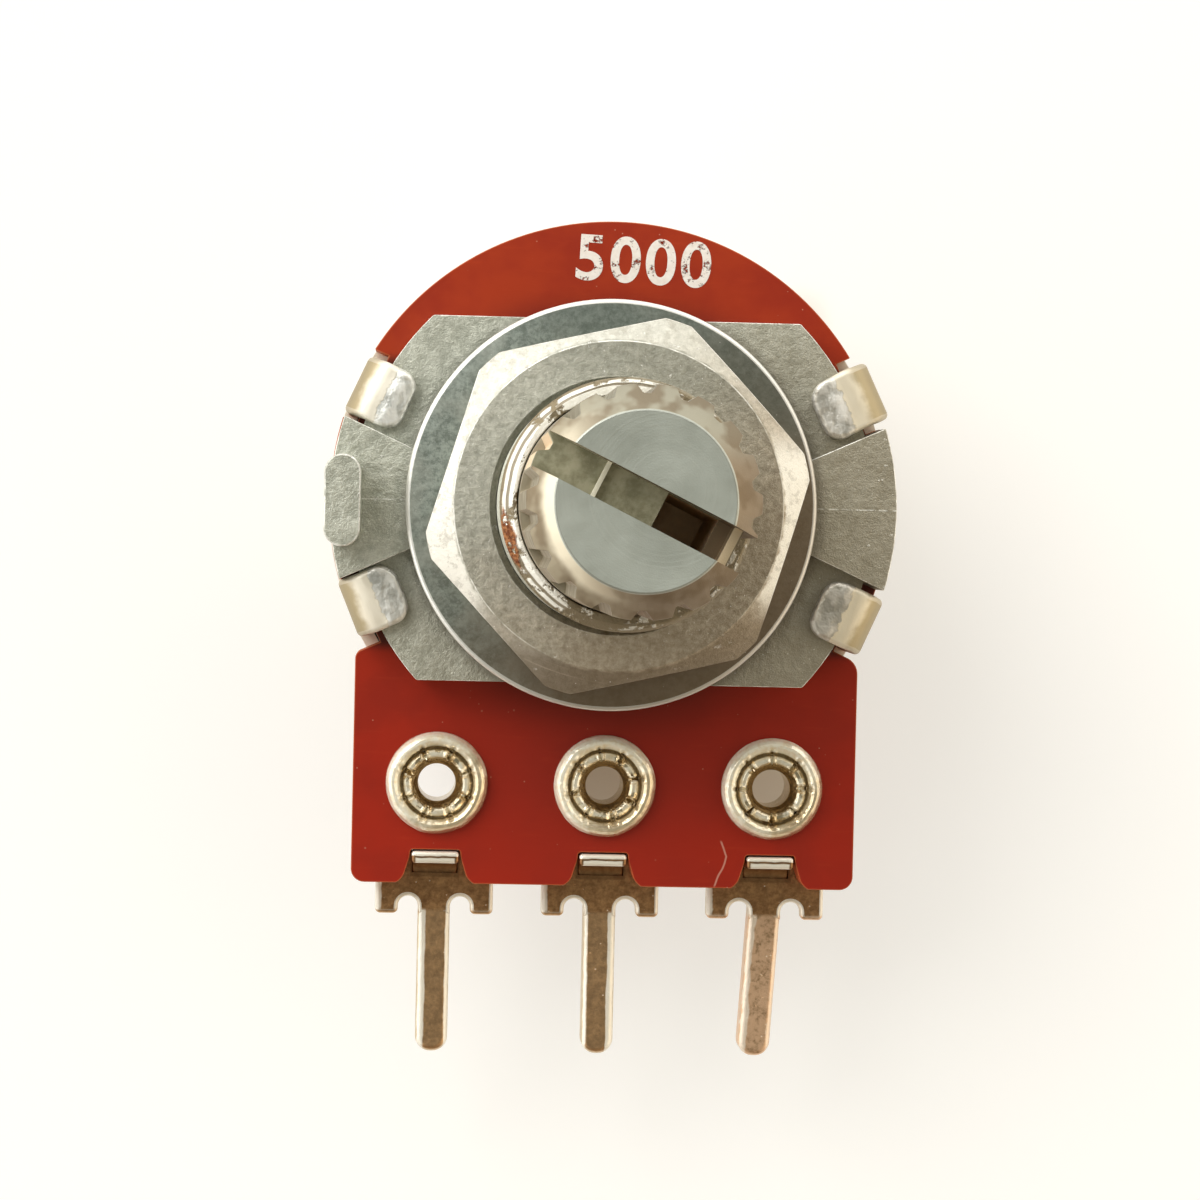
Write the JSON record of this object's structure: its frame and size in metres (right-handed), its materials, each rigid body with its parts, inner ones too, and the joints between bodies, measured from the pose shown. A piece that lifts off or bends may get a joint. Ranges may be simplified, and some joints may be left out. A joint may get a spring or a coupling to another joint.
{
  "type": "rotary potentiometer with centre detent",
  "caption": "Round panel-mount rotary potentiometer with a slotted knurled shaft, threaded bushing, washer and nut, and a row of pins on a phenolic board; the shaft turns and clicks at centre.",
  "frame": {"origin": "on the shaft's axis, at the rear cover's flat back face", "axes": "+Z along the shaft towards its slotted end, the pins point to -Y, the anti-turn lug lies at -X"},
  "size_m": [0.0168, 0.025, 0.024],
  "materials": {
    "plated_steel": "tin-plated pressed steel, pale at the bends, dull on the flats",
    "phenolic": "red-brown paper phenolic, satin, with a paler cut edge",
    "carbon_film": "screen-printed carbon film, matt black",
    "silver_film": "screen-printed silver conductor, dull grey",
    "tinned_brass": "brass with a thin tin coat, warm, bright on its folds",
    "eyelet_brass": "rolled tinned brass, bright on the crests",
    "cast_zinc": "die-cast zinc alloy, dull grey with fine bright specks",
    "zinc_washer": "zinc-plated steel washer, stamped, bright edge",
    "zinc_nut": "zinc-plated steel nut with small scratches",
    "shaft_metal": "turned alloy shaft, bead-dull end face, knurled",
    "ring_steel": "blackened spring steel",
    "thrust_steel": "plain steel shim",
    "carrier_plastic": "black moulded plastic",
    "spring_bronze": "phosphor bronze strip",
    "spring_steel": "bright spring steel strip"
  },
  "bodies": {
    "stator": {"rear_cover": "plated_steel", "element_board": "phenolic", "carbon_track": "carbon_film", "collector_track": "silver_film", "left_end_contact": "silver_film", "right_end_contact": "silver_film", "left_terminal": "tinned_brass", "center_terminal": "tinned_brass", "right_terminal": "tinned_brass", "left_eyelet": "eyelet_brass", "center_eyelet": "eyelet_brass", "right_eyelet": "eyelet_brass", "bushing_plate": "cast_zinc", "panel_washer": "zinc_washer", "mounting_nut": "zinc_nut", "detent_spring": "spring_steel"},
    "rotor": {"shaft": "shaft_metal", "thrust_washer": "thrust_steel", "retaining_ring": "ring_steel", "wiper_carrier": "carrier_plastic", "wiper_brush": "spring_bronze"}
  },
  "joints": [
    {"name": "shaft_turn", "type": "hinge", "parent": "stator", "child": "rotor", "pos_m": [0, 0, 0], "axis": [0, 0, 1], "range_deg": [-150, 150], "deforming": ["detent_spring"]}
  ]
}
